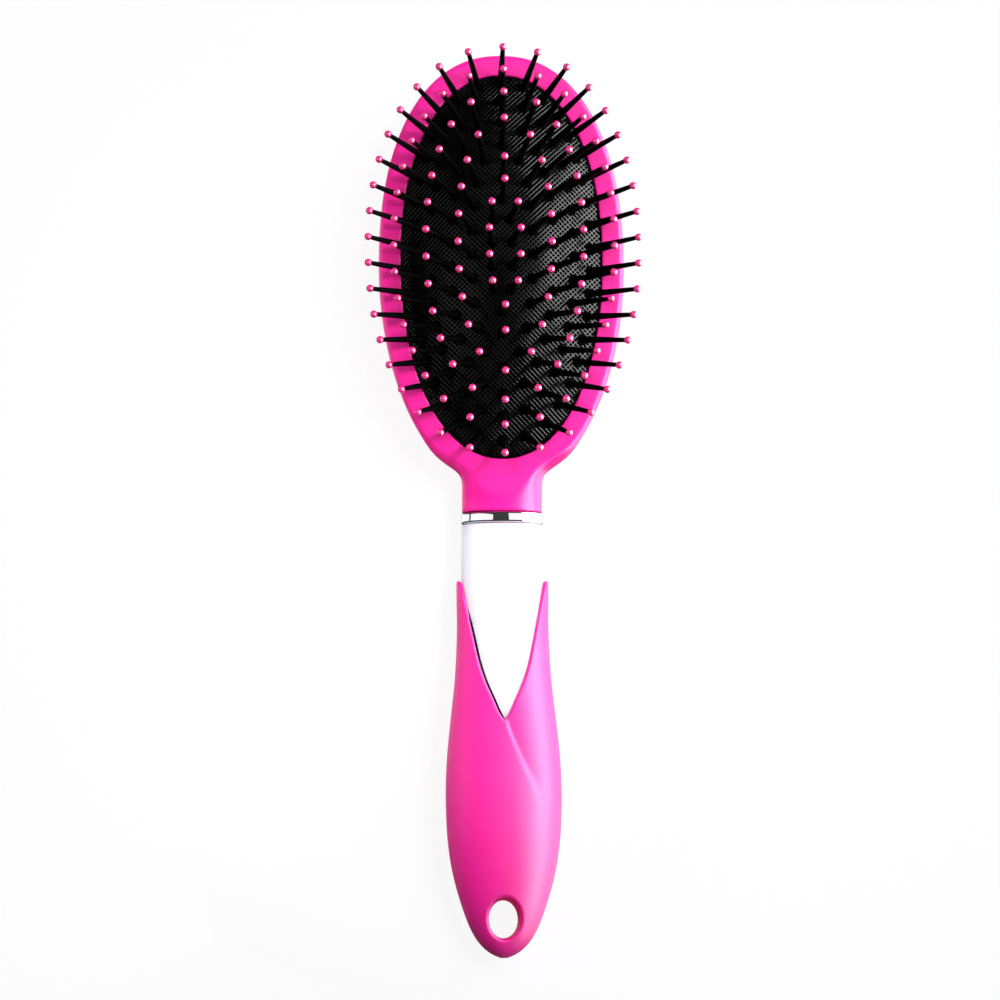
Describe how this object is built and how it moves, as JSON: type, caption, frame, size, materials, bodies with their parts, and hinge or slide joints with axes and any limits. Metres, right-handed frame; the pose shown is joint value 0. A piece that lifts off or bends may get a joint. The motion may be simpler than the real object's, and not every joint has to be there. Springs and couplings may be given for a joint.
{
  "type": "cushion brush",
  "caption": "Oval cushion hair brush: ball-tipped pins on a sprung rubber pad in a slim head, with a bright neck ring and a tapered soft grip with a hanging hole.",
  "frame": {"origin": "centre of the brush's length and width, on the plane that its back lies on", "axes": "+Y from the handle to the head's top, +Z from the back to the pins, +X to the right seen from the pin side"},
  "size_m": [0.0731, 0.2402, 0.0435],
  "materials": {
    "head_pink": "moulded, satin to gloss",
    "grip_pink": "soft touch, satin",
    "pad_black": "fine raised cross grain",
    "pin_black": "moulded nylon",
    "pin_ball_pink": "dipped ball tip, pearly",
    "ring_chrome": "bright plated",
    "core_white": "moulded, glossy"
  },
  "bodies": {
    "brush_body": {"head_body": "head_pink", "cushion_pad": "pad_black", "chrome_ring": "ring_chrome", "handle_core": "core_white", "grip_sleeve": "grip_pink"},
    "pins_outer": {"pin_ring_1": "pin_black"},
    "pins_second": {"pin_ring_2": "pin_black"},
    "pins_third": {"pin_ring_3": "pin_black"},
    "pins_fourth": {"pin_ring_4": "pin_black"},
    "pins_middle": {"pin_ring_5": "pin_black"}
  },
  "joints": [
    {"name": "cushion_press", "type": "slide", "parent": "brush_body", "child": "pins_middle", "axis": [0, 0, -1], "range_m": [0, 0.005], "stiffness_N_per_m": 500, "deforming": ["cushion_pad"]},
    {"name": "press_fourth", "type": "slide", "parent": "brush_body", "child": "pins_fourth", "axis": [0, 0, -1], "range_m": [0, 0.0045]},
    {"name": "press_third", "type": "slide", "parent": "brush_body", "child": "pins_third", "axis": [0, 0, -1], "range_m": [0, 0.0038]},
    {"name": "press_second", "type": "slide", "parent": "brush_body", "child": "pins_second", "axis": [0, 0, -1], "range_m": [0, 0.0026]},
    {"name": "press_outer", "type": "slide", "parent": "brush_body", "child": "pins_outer", "axis": [0, 0, -1], "range_m": [0, 0.0012]}
  ],
  "couplings": [
    {"joint": "press_fourth", "follows": "cushion_press", "ratio": 0.845},
    {"joint": "press_third", "follows": "cushion_press", "ratio": 0.68},
    {"joint": "press_second", "follows": "cushion_press", "ratio": 0.465},
    {"joint": "press_outer", "follows": "cushion_press", "ratio": 0.2}
  ]
}
